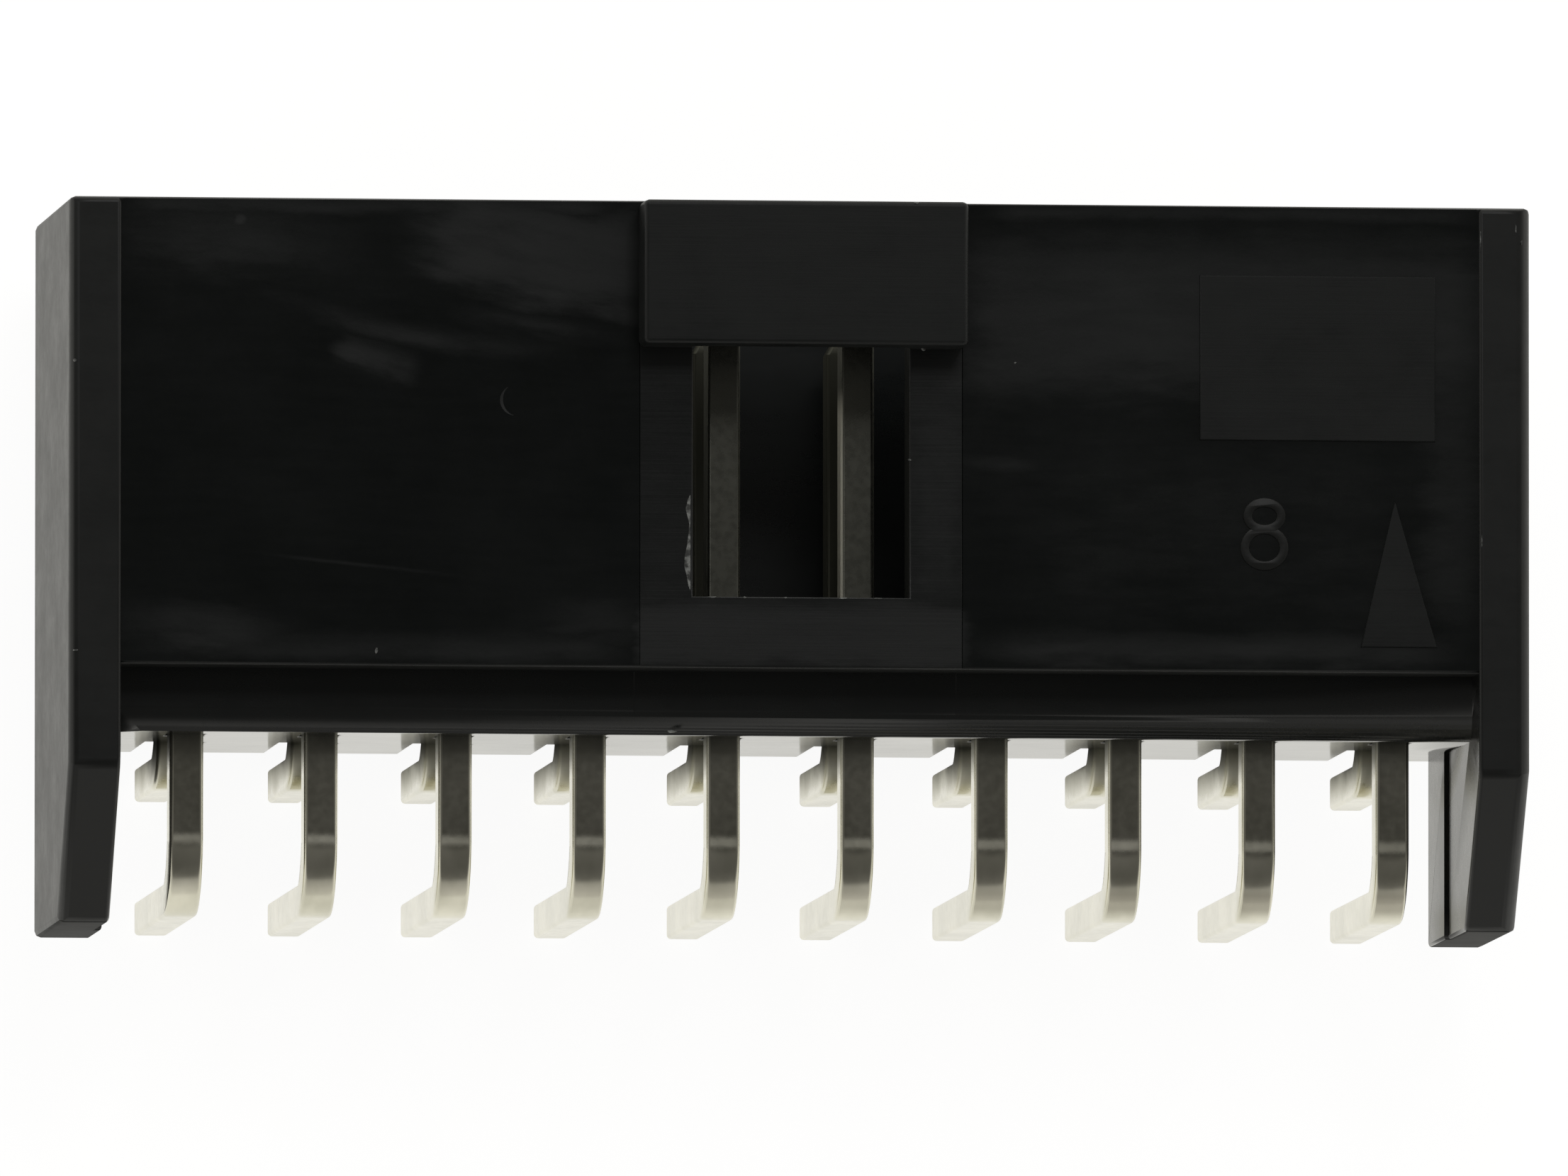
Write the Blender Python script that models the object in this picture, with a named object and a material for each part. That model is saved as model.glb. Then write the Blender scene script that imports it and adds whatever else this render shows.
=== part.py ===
# Right-angle box header for a circuit board: two rows of ten square contacts in one moulded housing.
# Metres, +Z up from the board, +Y out of the mouth. The board plane is Z = 0.
import bpy
import bmesh
from math import cos, pi, sin
from mathutils import Vector

MM = 0.001

# Contact grid
COLUMNS = 10
PITCH = 2.54 * MM
ROW_GAP = 2.54 * MM

# Contacts: square wire, bent once, pointed at both ends
PIN_SIDE = 0.64 * MM
PIN_EDGE = 0.08 * MM
BEND_INNER = 0.72 * MM
TAIL_REACH = 2.1 * MM
TAIL_SETBACK = 0.51 * MM
TIP_LENGTH = 0.3 * MM
TIP_SIDE = 0.3 * MM
MATING_LENGTH = 6.15 * MM

# Housing: shroud and floor
END_ROOM = 2.4 * MM
HOUSING_HEIGHT = 7.3 * MM
TOP_WALL = 0.95 * MM
SIDE_WALL = 0.98 * MM
CAVITY_HEIGHT = 5.1 * MM
CAVITY_DEPTH = 8.4 * MM
FLOOR_THICKNESS = 1.6 * MM
EDGE_ROUND = 0.12 * MM
MOUTH_CHAMFER = 0.2 * MM

# Housing: the top wall sits a hair below the side walls and stops short of the rear face
TOP_STEP = 0.04 * MM
BAND_LENGTH = 1.2 * MM
BAND_DROP = 1.1 * MM

# Housing: rear cheeks that guard the bent contacts
CHEEK_OVERHANG = 0.17 * MM
SLOPE_LENGTH = 2.83 * MM
SLOPE_DROP = 2.3 * MM
FOOT_STEP = 0.08 * MM
FOOT_HEIGHT = 2.5 * MM

# Housing: raised latch bar, and the window behind it where the plug's finger catches
WINDOW_WIDTH = 4.1 * MM
WINDOW_LENGTH = 4.7 * MM
BAR_SHOULDER = 1.02 * MM
BAR_LENGTH = 2.76 * MM
BAR_HEIGHT = 0.9 * MM
BAR_SETBACK = 0.04 * MM
BAR_ROUND = 0.1 * MM
CHANNEL_RISE = 0.3 * MM

# Fits
HOLE_CLEARANCE = 0.03 * MM
NOTCH_CLEARANCE = 0.22 * MM

# The seat's centre lies this far behind the mouth
SEAT_CENTRE = 5.0 * MM

# Mesh settings
BEND_STEPS = 10
CORNER_STEPS = 2
CUT_MARGIN = 1.0 * MM
MERGE_DISTANCE = 1e-7
FLAT_ANGLE = 0.002
SHARP_ANGLE = 0.6

# Widths across the rows
HOUSING_HALF = (COLUMNS - 1) * PITCH / 2 + END_ROOM
CAVITY_HALF = HOUSING_HALF - SIDE_WALL
WINDOW_HALF = WINDOW_WIDTH / 2
BAR_HALF = WINDOW_HALF + BAR_SHOULDER

# Places along the plug's way in, from the mouth back
MOUTH_Y = SEAT_CENTRE
BAR_REAR_Y = MOUTH_Y - BAR_LENGTH
WINDOW_REAR_Y = BAR_REAR_Y - WINDOW_LENGTH
FLOOR_Y = MOUTH_Y - CAVITY_DEPTH
REAR_Y = FLOOR_Y - FLOOR_THICKNESS
BAND_Y = REAR_Y + BAND_LENGTH
TIP_Y = FLOOR_Y + MATING_LENGTH
BEND_RADIUS = BEND_INNER + PIN_SIDE / 2
LOWER_TAIL_Y = REAR_Y - TAIL_SETBACK
UPPER_TAIL_Y = LOWER_TAIL_Y - ROW_GAP
NOTCH_Y = LOWER_TAIL_Y + BEND_RADIUS + NOTCH_CLEARANCE
CHEEK_Y = UPPER_TAIL_Y - PIN_SIDE / 2 - CHEEK_OVERHANG

# Heights above the board
TOP_Z = HOUSING_HEIGHT - TOP_STEP
CAVITY_TOP = HOUSING_HEIGHT - TOP_WALL
CAVITY_BASE = CAVITY_TOP - CAVITY_HEIGHT
LOWER_ROW_Z = CAVITY_BASE + (CAVITY_HEIGHT - ROW_GAP) / 2
UPPER_ROW_Z = LOWER_ROW_Z + ROW_GAP
NOTCH_TOP = LOWER_ROW_Z + PIN_SIDE / 2 + NOTCH_CLEARANCE
BAR_TOP = HOUSING_HEIGHT + BAR_HEIGHT
CHANNEL_TOP = HOUSING_HEIGHT + CHANNEL_RISE
ABOVE = BAR_TOP + CUT_MARGIN


def clear_scene():
    for item in list(bpy.data.objects):
        bpy.data.objects.remove(item, do_unlink=True)


def make_material(name, colour, metallic, roughness):
    material = bpy.data.materials.new(name)
    material.use_nodes = True
    shader = material.node_tree.nodes["Principled BSDF"]
    shader.inputs["Base Color"].default_value = (*colour, 1.0)
    shader.inputs["Metallic"].default_value = metallic
    shader.inputs["Roughness"].default_value = roughness
    return material


def mesh_object(name, bm):
    bmesh.ops.recalc_face_normals(bm, faces=bm.faces)
    mesh = bpy.data.meshes.new(name)
    bm.to_mesh(mesh)
    bm.free()
    item = bpy.data.objects.new(name, mesh)
    bpy.context.scene.collection.objects.link(item)
    return item


def loft(bm, rings):
    # Closed skin through rings of points that all have the same count
    loops = [[bm.verts.new(point) for point in ring] for ring in rings]
    for near, far in zip(loops, loops[1:]):
        for i, corner in enumerate(near):
            j = (i + 1) % len(near)
            bm.faces.new((corner, near[j], far[j], far[i]))
    bm.faces.new(reversed(loops[0]))
    bm.faces.new(loops[-1])


def extrude_profile(name, profile, half_width, rounding=0.0):
    # Profile in Y and Z, extruded both ways along X
    bm = bmesh.new()
    loft(bm, [[(x, y, z) for y, z in profile] for x in (-half_width, half_width)])
    if rounding:
        bmesh.ops.recalc_face_normals(bm, faces=bm.faces)
        bmesh.ops.bevel(bm, geom=bm.edges[:], offset=rounding, segments=2, profile=0.5, affect="EDGES")
    return mesh_object(name, bm)


def box(name, across, along, up):
    # Cutter between two values on each axis
    y0, y1 = along
    z0, z1 = up
    middle = (across[0] + across[1]) / 2
    item = extrude_profile(name, [(y0, z0), (y1, z0), (y1, z1), (y0, z1)], across[1] - middle)
    item.location.x = middle
    return item


def combine(target, tools, operation):
    for tool in tools:
        step = target.modifiers.new(operation.lower(), "BOOLEAN")
        step.operation = operation
        step.solver = "EXACT"
        step.object = tool
    bpy.context.view_layer.update()
    graph = bpy.context.evaluated_depsgraph_get()
    finished = bpy.data.meshes.new_from_object(target.evaluated_get(graph))
    target.modifiers.clear()
    target.data = finished
    for tool in tools:
        bpy.data.objects.remove(tool, do_unlink=True)


def column_x(column):
    return (column - (COLUMNS - 1) / 2) * PITCH


def housing_blank():
    # Side view of the shroud and cheeks in one outline
    slope_y = CHEEK_Y + SLOPE_LENGTH
    profile = [
        (MOUTH_Y, 0.0),
        (MOUTH_Y, HOUSING_HEIGHT),
        (slope_y, HOUSING_HEIGHT),
        (CHEEK_Y, HOUSING_HEIGHT - SLOPE_DROP),
        (CHEEK_Y, 0.0),
    ]
    return extrude_profile("housing", profile, HOUSING_HALF, EDGE_ROUND)


def latch_bar():
    front = MOUTH_Y - BAR_SETBACK
    low = HOUSING_HEIGHT - TOP_WALL / 2
    profile = [(BAR_REAR_Y, low), (front, low), (front, BAR_TOP), (BAR_REAR_Y, BAR_TOP)]
    return extrude_profile("bar", profile, BAR_HALF, BAR_ROUND)


def plug_cavity():
    # The plug's room, flared at the mouth to lead it in
    rings = []
    flare = MOUTH_CHAMFER + CUT_MARGIN
    stations = ((MOUTH_Y + CUT_MARGIN, flare), (MOUTH_Y - MOUTH_CHAMFER, 0.0), (FLOOR_Y, 0.0))
    for y, grow in stations:
        x = CAVITY_HALF + grow
        low = CAVITY_BASE - grow
        high = CAVITY_TOP + grow
        rings.append([(-x, y, low), (x, y, low), (x, y, high), (-x, y, high)])
    bm = bmesh.new()
    loft(bm, rings)
    return mesh_object("cavity", bm)


def latch_window():
    # The finger's channel under the bar and the open window behind it, in one outline
    low = CAVITY_TOP - CUT_MARGIN
    outline = [
        (MOUTH_Y + CUT_MARGIN, low),
        (MOUTH_Y + CUT_MARGIN, CHANNEL_TOP),
        (BAR_REAR_Y, CHANNEL_TOP),
        (BAR_REAR_Y, ABOVE),
        (WINDOW_REAR_Y, ABOVE),
        (WINDOW_REAR_Y, low),
    ]
    return extrude_profile("window", outline, WINDOW_HALF)


def top_recess():
    # The lowered top wall and the deeper band at its rear, in one outline
    band_z = HOUSING_HEIGHT - BAND_DROP
    outline = [
        (MOUTH_Y + CUT_MARGIN, ABOVE),
        (MOUTH_Y + CUT_MARGIN, TOP_Z),
        (BAND_Y, TOP_Z),
        (BAND_Y, band_z),
        (REAR_Y, band_z),
        (REAR_Y, ABOVE),
    ]
    return extrude_profile("recess", outline, CAVITY_HALF)


def contact_bay():
    # Open space between the cheeks, a little narrower at their feet
    along = (CHEEK_Y - CUT_MARGIN, REAR_Y)
    foot = CAVITY_HALF - FOOT_STEP
    return [
        box("bay_foot", (-foot, foot), along, (-CUT_MARGIN, FOOT_HEIGHT)),
        box("bay", (-CAVITY_HALF, CAVITY_HALF), along, (FOOT_HEIGHT, ABOVE)),
    ]


def contact_seats():
    # A square hole for each contact, and a notch where each lower one turns down
    cuts = []
    hole = PIN_SIDE / 2 + HOLE_CLEARANCE
    notch = PIN_SIDE / 2 + NOTCH_CLEARANCE
    through = (REAR_Y - CUT_MARGIN, FLOOR_Y + CUT_MARGIN)
    bend = (REAR_Y - CUT_MARGIN, NOTCH_Y)
    for column in range(COLUMNS):
        x = column_x(column)
        for z in (LOWER_ROW_Z, UPPER_ROW_Z):
            cuts.append(box("hole", (x - hole, x + hole), through, (z - hole, z + hole)))
        cuts.append(box("notch", (x - notch, x + notch), bend, (-CUT_MARGIN, NOTCH_TOP)))
    return cuts


def clean_mesh(item):
    bm = bmesh.new()
    bm.from_mesh(item.data)
    bmesh.ops.remove_doubles(bm, verts=bm.verts, dist=MERGE_DISTANCE)
    bmesh.ops.dissolve_degenerate(bm, edges=bm.edges, dist=MERGE_DISTANCE)
    bmesh.ops.dissolve_limit(bm, angle_limit=FLAT_ANGLE, verts=bm.verts, edges=bm.edges)
    bmesh.ops.recalc_face_normals(bm, faces=bm.faces)
    bm.to_mesh(item.data)
    bm.free()


def smooth_rounds(mesh):
    mesh.shade_smooth()
    mesh.set_sharp_from_angle(angle=SHARP_ANGLE)


def make_housing(material):
    housing = housing_blank()
    combine(housing, [top_recess()], "DIFFERENCE")
    combine(housing, [latch_bar()], "UNION")
    cutters = [plug_cavity(), latch_window()] + contact_bay() + contact_seats()
    combine(housing, cutters, "DIFFERENCE")
    clean_mesh(housing)
    housing.data.materials.clear()
    housing.data.materials.append(material)
    smooth_rounds(housing.data)
    return housing


def wire_section(side):
    # Square with rounded corners, seen along the wire
    flat = side / 2 - PIN_EDGE
    points = []
    for right, up, start in ((1, 1, 0), (-1, 1, 1), (-1, -1, 2), (1, -1, 3)):
        for step in range(CORNER_STEPS + 1):
            angle = (start + step / CORNER_STEPS) * pi / 2
            points.append((right * flat + PIN_EDGE * cos(angle), up * flat + PIN_EDGE * sin(angle)))
    return points


def contact_path(row_z, tail_y):
    # Stations along the wire: centre, upper side and size, from mating tip to solder tip
    up = Vector((0, 0, 1))
    rearward = Vector((0, -1, 0))
    path = [
        (Vector((0, TIP_Y, row_z)), up, TIP_SIDE),
        (Vector((0, TIP_Y - TIP_LENGTH, row_z)), up, PIN_SIDE),
    ]
    centre = Vector((0, tail_y + BEND_RADIUS, row_z - BEND_RADIUS))
    for step in range(BEND_STEPS + 1):
        turn = step / BEND_STEPS * pi / 2
        outward = up * cos(turn) + rearward * sin(turn)
        path.append((centre + outward * BEND_RADIUS, outward, PIN_SIDE))
    path.append((Vector((0, tail_y, TIP_LENGTH - TAIL_REACH)), rearward, PIN_SIDE))
    path.append((Vector((0, tail_y, -TAIL_REACH)), rearward, TIP_SIDE))
    return path


def contact_mesh(name, row_z, tail_y, material):
    # The mesh's origin is where the wire leaves the rear face
    origin = Vector((0, REAR_Y, row_z))
    rings = []
    for centre, outward, side in contact_path(row_z, tail_y):
        start = centre - origin
        rings.append([start + Vector((x, 0, 0)) + outward * rise for x, rise in wire_section(side)])
    bm = bmesh.new()
    loft(bm, rings)
    bmesh.ops.recalc_face_normals(bm, faces=bm.faces)
    mesh = bpy.data.meshes.new(name)
    bm.to_mesh(mesh)
    bm.free()
    mesh.materials.append(material)
    smooth_rounds(mesh)
    return mesh


def make_contacts(housing, material):
    rows = (("upper", UPPER_ROW_Z, UPPER_TAIL_Y), ("lower", LOWER_ROW_Z, LOWER_TAIL_Y))
    for row, row_z, tail_y in rows:
        mesh = contact_mesh("contact_" + row, row_z, tail_y, material)
        for column in range(COLUMNS):
            contact = bpy.data.objects.new(f"contact_{row}_{column + 1:02d}", mesh)
            bpy.context.scene.collection.objects.link(contact)
            contact.parent = housing
            contact.location = (column_x(column), REAR_Y, row_z)


def main():
    clear_scene()
    plastic = make_material("black_moulding", (0.013, 0.014, 0.014), 0.0, 0.42)
    tin = make_material("tin_plated_wire", (0.66, 0.64, 0.59), 1.0, 0.3)
    housing = make_housing(plastic)
    make_contacts(housing, tin)


main()
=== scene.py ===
import math
import random

import bmesh
import bpy
from mathutils import Matrix, Vector


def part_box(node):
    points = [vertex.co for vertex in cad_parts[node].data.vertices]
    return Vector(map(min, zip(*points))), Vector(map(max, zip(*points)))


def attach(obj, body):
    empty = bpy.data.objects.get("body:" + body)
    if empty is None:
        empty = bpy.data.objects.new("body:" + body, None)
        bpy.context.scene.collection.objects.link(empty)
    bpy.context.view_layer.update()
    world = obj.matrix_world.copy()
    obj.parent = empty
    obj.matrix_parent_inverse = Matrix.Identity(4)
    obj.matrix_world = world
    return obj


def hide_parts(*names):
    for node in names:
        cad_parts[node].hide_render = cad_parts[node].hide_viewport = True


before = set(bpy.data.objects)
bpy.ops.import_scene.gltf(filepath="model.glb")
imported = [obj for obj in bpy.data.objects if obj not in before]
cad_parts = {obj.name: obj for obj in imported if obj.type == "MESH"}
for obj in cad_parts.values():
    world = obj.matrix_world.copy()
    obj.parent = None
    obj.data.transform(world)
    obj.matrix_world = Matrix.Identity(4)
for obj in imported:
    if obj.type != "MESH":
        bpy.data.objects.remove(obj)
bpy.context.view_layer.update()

# Looks for a right-angle box header: a black moulding and two rows of bent tin-plated wires.
# Pieces are shaped in millimetres and scaled to metres when they go into the scene.
mm = 0.001

# Where the housing's own faces are, in millimetres
spot = {
    "wallTop": 7.26,
    "wallRear": -3.8,
    "bandTop": 6.2,
    "rearFace": -5.0,
    "barRear": 2.24,
    "barHalf": 3.07,
    "innerHalf": 12.85,
    "sideHalf": 13.83,
    "sideTop": 7.3,
    "slopeFrom": -5.71,
    "slopeTo": -8.54,
    "slopeDrop": 2.3,
    "floorFace": -3.4,
    "cavityTop": 6.35,
    "cavityBottom": 1.25,
    "mouth": 5.0,
    "barFoot": 7.56,       # the bar's own edges lie above this
    "windowHalf": 2.05,
    "windowRear": -2.46,
}
near = 0.05  # mm, how close to one of these places an edge or a face still lies on it


def edgesOf(nodeName):
    low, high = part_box(nodeName)
    return low / mm, high / mm


# Small helpers for meshes

def addPiece(name, bm, materials):
    bmesh.ops.recalc_face_normals(bm, faces=bm.faces[:])
    mesh = bpy.data.meshes.new(name)
    bm.to_mesh(mesh)
    bm.free()
    mesh.transform(Matrix.Scale(mm, 4))
    for material in materials:
        mesh.materials.append(material)
    piece = bpy.data.objects.new(name, mesh)
    bpy.context.scene.collection.objects.link(piece)
    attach(piece, "root")
    return piece


def softShade(piece, sharpDegrees):
    piece.data.shade_smooth()
    piece.data.set_sharp_from_angle(angle=math.radians(sharpDegrees))
    weighted = piece.modifiers.new("even normals", "WEIGHTED_NORMAL")
    weighted.keep_sharp = True
    weighted.weight = 100


def skin(bm, rings, closedPath=False):
    loops = [[bm.verts.new(point) for point in ring] for ring in rings]
    following = loops[1:] + loops[:1] if closedPath else loops[1:]
    for near, far in zip(loops, following):
        for i, corner in enumerate(near):
            j = (i + 1) % len(near)
            bm.faces.new((corner, near[j], far[j], far[i]))
    if not closedPath:
        bm.faces.new(reversed(loops[0]))
        bm.faces.new(loops[-1])
    return loops


def slab(bm, corners, low, high):
    # Upright prism over an outline in X and Y
    return skin(bm, [[(x, y, z) for x, y in corners] for z in (low, high)])


def rectangle(x0, x1, y0, y1):
    return [(x0, y0), (x1, y0), (x1, y1), (x0, y1)]


# Small helpers for node trees

def addNode(tree, kind, settings=None, **sockets):
    # A socket is given by its name, or by its number as i0, i1 and so on
    made = tree.nodes.new(kind)
    for key, value in (settings or {}).items():
        setattr(made, key, value)
    for key, value in sockets.items():
        socket = made.inputs[int(key[1:])] if key[0] == "i" and key[1:].isdigit() else made.inputs[key]
        if isinstance(value, bpy.types.NodeSocket):
            tree.links.new(value, socket)
        else:
            socket.default_value = value
    return made


def startMaterial(name):
    material = bpy.data.materials.new(name)
    material.use_nodes = True
    tree = material.node_tree
    shader = tree.nodes["Principled BSDF"]
    place = addNode(tree, "ShaderNodeTexCoord").outputs["Object"]
    return material, tree, shader, place


def stretched(tree, place, x, y, z):
    # Object coordinates in millimetres, squeezed or stretched on each axis
    return addNode(tree, "ShaderNodeMapping", i0=place, i3=(x / mm, y / mm, z / mm)).outputs[0]


def speckle(tree, place, scale, detail=4.0, rough=0.55):
    noise = addNode(tree, "ShaderNodeTexNoise", i0=place, Scale=scale, Detail=detail, Roughness=rough)
    return noise.outputs["Fac"]


def remap(tree, value, fromLow, fromHigh, toLow, toHigh):
    ranged = addNode(tree, "ShaderNodeMapRange", i0=value, i1=fromLow, i2=fromHigh, i3=toLow, i4=toHigh)
    return ranged.outputs[0]


def sums(tree, kind, a, b):
    return addNode(tree, "ShaderNodeMath", {"operation": kind}, i0=a, i1=b).outputs[0]


def times(tree, a, b):
    return sums(tree, "MULTIPLY", a, b)


def shared(tree, first, second, share):
    # Two values added, the second with the given share of the whole
    return sums(tree, "ADD", times(tree, first, 1 - share), times(tree, second, share))


def unsigned(tree, value):
    return addNode(tree, "ShaderNodeMath", {"operation": "ABSOLUTE"}, i0=value).outputs[0]


def blendColour(tree, factor, dark, light, clamped=False):
    # Each end is a colour or the output of another node
    mixer = addNode(tree, "ShaderNodeMix", {"data_type": "RGBA", "clamp_factor": clamped}, i0=factor)
    for socket, end in ((mixer.inputs[6], dark), (mixer.inputs[7], light)):
        if isinstance(end, bpy.types.NodeSocket):
            tree.links.new(end, socket)
        else:
            socket.default_value = (*end, 1)
    return mixer.outputs[2]


def bump(tree, height, depth, under=None):
    made = addNode(tree, "ShaderNodeBump", Height=height, Strength=1.0, Distance=depth * mm)
    if under:
        tree.links.new(under, made.inputs["Normal"])
    return made.outputs[0]


# Black moulding: in each finish the colour and the roughness vary with its blotches

mouldingLook = {
    "finishes": {
        "satin": {"dark": (0.0034, 0.0042, 0.0036), "light": (0.0060, 0.0068, 0.0061),
                  "rough": (0.40, 0.52), "shine": 0.43, "cloud": 0.80},
        "gloss": {"dark": (0.0022, 0.0033, 0.0031), "light": (0.0034, 0.0046, 0.0044),
                  "rough": (0.18, 0.24), "shine": 0.50, "cloud": 0.35},
        "insert": {"dark": (0.0034, 0.0044, 0.0042), "light": (0.0050, 0.0060, 0.0058),
                   "rough": (0.27, 0.35), "shine": 0.50, "cloud": 0.35},
        "matte": {"dark": (0.0016, 0.0026, 0.0024), "light": (0.0058, 0.0071, 0.0067),
                  "rough": (0.44, 0.62), "shine": 0.38, "cloud": 0.80},
        "smooth": {"dark": (0.0060, 0.0060, 0.0060), "light": (0.0080, 0.0080, 0.0080),
                   "rough": (0.25, 0.31), "shine": 0.71, "cloud": 0.35},
        "polish": {"dark": (0.0040, 0.0046, 0.0044), "light": (0.0060, 0.0067, 0.0064),
                   "rough": (0.09, 0.15), "shine": 0.50, "cloud": 0.35},
        # Painted light: the cavity's moulding is given a lighter colour than the rest, standing in for light
        # inside it
        "hollowPaintedLight": {"dark": (0.0110, 0.0130, 0.0130), "light": (0.0135, 0.0155, 0.0155),
                   "rough": (0.24, 0.32), "shine": 0.50, "cloud": 0.35},
        "scratch": {"dark": (0.0120, 0.0130, 0.0125), "light": (0.0240, 0.0250, 0.0245),
                    "rough": (0.45, 0.60), "shine": 0.50, "cloud": 0.35},
        # Painted light: the band behind the wall gets a lighter colour, making up for the wall's shadow on
        # it
        "band": {"dark": (0.0082, 0.0094, 0.0090), "light": (0.0102, 0.0114, 0.0108),
                 "rough": (0.24, 0.30), "shine": 0.48, "cloud": 0.35},
        "cut": {"dark": (0.0050, 0.0056, 0.0050), "light": (0.0070, 0.0076, 0.0068),
                "rough": (0.50, 0.62), "shine": 0.05, "cloud": 0.35},
    },
    "cloudNoise": (6.0, 0.65),      # detail and roughness of the blotches
    "streak": (0.4, 2.4, 2.4),      # flow streaks, drawn out along X
    "streakScale": 2.2,
    "streakShare": 0.3,             # of the mottle; the blotches give the rest
    "mottle": (0.36, 0.64),
    "grain": 14.0,                  # grains per mm
    "grainDepth": 0.0008,           # mm
    "grainShare": 0.4,              # of the roughness; the mottle gives the rest
    "roughFrom": (0.1, 0.9),
    "lined": ("matte", "insert"),   # the finishes with cutter lines
    "lines": (0.25, 14.0, 1.0),
    "lineScale": 1.6,
    "lineDepth": 0.0014,
    "rubbed": ("gloss", "insert"),  # the finishes with rubbed places
    "rubRough": 0.28,               # how much rougher a fully rubbed place is
    "rubPale": 0.9,
}

# Rubbed places on the top wall: middle, length and width in mm. Where a place doesn't say, this holds.
rubUsual = {
    "turn": 0,             # degrees
    "bend": 0.0,           # how fast the stroke curves
    "fade": (1.0, 1.0),    # how far its ends and its sides fade, as shares of its half size
    "strength": 0.50,
    "torn": 0.3,           # how deep the streaks cut into it
}

rubMarks = [
    {"at": (-4.90, 3.95), "size": (6.0, 2.5), "turn": -10, "bend": 0.010, "fade": (0.6, 0.6),
     "strength": 0.90, "torn": 0.40},
    {"at": (-7.30, 2.42), "size": (7.4, 0.60), "turn": -10, "bend": 0.035, "strength": 0.60, "torn": 0.6},
    {"at": (-8.05, 1.92), "size": (1.9, 0.95), "turn": -17, "fade": (0.5, 0.8),
     "strength": 0.85, "torn": 0.6},
    {"at": (-10.6, 4.58), "size": (0.40, 0.36), "strength": 0.90, "torn": 0.1},
    {"at": (-5.00, 2.62), "size": (4.4, 0.60), "turn": -8, "bend": 0.030, "torn": 0.6},
    {"at": (-10.8, 4.20), "size": (6.6, 2.2), "turn": -4, "torn": 0.4},
    {"at": (-11.2, -3.15), "size": (4.6, 1.4), "turn": -5, "fade": (1.0, 0.9), "strength": 0.75},
    {"at": (-7.90, -3.50), "size": (10.5, 0.9), "fade": (0.3, 1.0)},
    {"at": (-3.90, -3.00), "size": (3.6, 1.7), "turn": 4, "torn": 0.4},
    {"at": (-8.40, -1.90), "size": (5.0, 0.12), "turn": -6, "strength": 0.45, "torn": 0.4},
    {"at": (8.00, 2.90), "size": (11.2, 4.2), "fade": (0.25, 0.7), "strength": 0.66, "torn": 0.22},
    {"at": (3.90, 0.10), "size": (2.4, 0.45), "turn": -3, "strength": 0.40, "torn": 0.5},
    {"at": (8.00, -1.20), "size": (10.4, 6.0), "fade": (0.6, 0.8), "strength": 0.24, "torn": 0.6},
    {"at": (12.3, -0.40), "size": (1.9, 7.0), "fade": (0.9, 0.5), "strength": 0.42},
    # The next two strips along the mouth's edge are partly rub wear, partly painted sheen where the rounded
    # edge catches light
    {"at": (-8.20, 4.85), "size": (9.8, 0.6), "fade": (0.2, 1.0), "strength": 0.48},
    {"at": (8.20, 4.85), "size": (9.8, 0.5), "fade": (0.2, 1.0), "strength": 0.42},
    {"at": (8.00, -3.40), "size": (10.4, 1.0), "fade": (0.4, 1.0), "strength": 0.75},
    {"at": (0.0, -3.20), "size": (6.6, 1.5), "fade": (0.1, 0.6), "strength": 0.65},
    {"at": (2.60, -0.60), "size": (0.9, 4.6), "fade": (0.6, 0.5), "strength": 0.15, "torn": 0.4},
]

rubStreaks = {
    "along": 0.55,         # how fine the noise is along a stroke and across it
    "across": 2.1,
    "scale": 1.2,
    "ragged": 0.5,         # how far it pushes the rim about, as a share of the stroke's width
    "widest": 2,           # mm, the most that this width counts
    "broken": (0.34, 0.62),
}

scuffLook = {
    "dark": (0.05, 0.052, 0.05),
    "light": (0.30, 0.31, 0.30),
    "tears": 7.0,          # per mm
    "contrast": (0.4, 0.6),
    "roughFrom": (0.3, 0.7),
    "rough": (0.4, 0.6),
    "depth": 0.006,
}


def rimFade(tree, distance, half, fade):
    # 1 over the middle of a stroke, 0 at its rim
    share = sums(tree, "DIVIDE", unsigned(tree, distance), half)
    faded = addNode(tree, "ShaderNodeMapRange", {"interpolation_type": "SMOOTHSTEP"}, i0=share, i1=1.0,
                    i2=1.0 - fade, i3=0.0, i4=1.0)
    return faded.outputs[0]


def rubbed(tree, place):
    # One curved stroke for each place, broken up by noise drawn out along it
    total = None
    for given in rubMarks:
        mark = {**rubUsual, **given}
        length, width = mark["size"]
        strength, turn = mark["strength"], math.radians(mark["turn"])
        middle = Matrix.Rotation(-turn, 2) @ Vector(mark["at"])
        local = addNode(tree, "ShaderNodeMapping", i0=place, i1=(-middle.x, -middle.y, 0), i2=(0, 0, -turn),
                        i3=(1 / mm, 1 / mm, 0)).outputs[0]
        parts = addNode(tree, "ShaderNodeSeparateXYZ", i0=local)
        along = parts.outputs["X"]
        sag = times(tree, times(tree, along, along), mark["bend"])
        across = sums(tree, "SUBTRACT", parts.outputs["Y"], sag)
        drag = addNode(tree, "ShaderNodeCombineXYZ", X=times(tree, along, rubStreaks["along"]),
                       Y=times(tree, across, rubStreaks["across"]), Z=mark["at"][0]).outputs[0]
        streaks = speckle(tree, drag, rubStreaks["scale"])
        push = min(width, rubStreaks["widest"]) * rubStreaks["ragged"]
        ragged = times(tree, sums(tree, "SUBTRACT", streaks, 0.5), push)
        ends = rimFade(tree, sums(tree, "ADD", along, ragged), length / 2, mark["fade"][0])
        sides = rimFade(tree, sums(tree, "ADD", across, ragged), width / 2, mark["fade"][1])
        broken = remap(tree, streaks, *rubStreaks["broken"], strength * (1 - mark["torn"]), strength)
        part = times(tree, times(tree, ends, sides), broken)
        total = sums(tree, "MAXIMUM", total, part) if total else part
    return total


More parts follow.
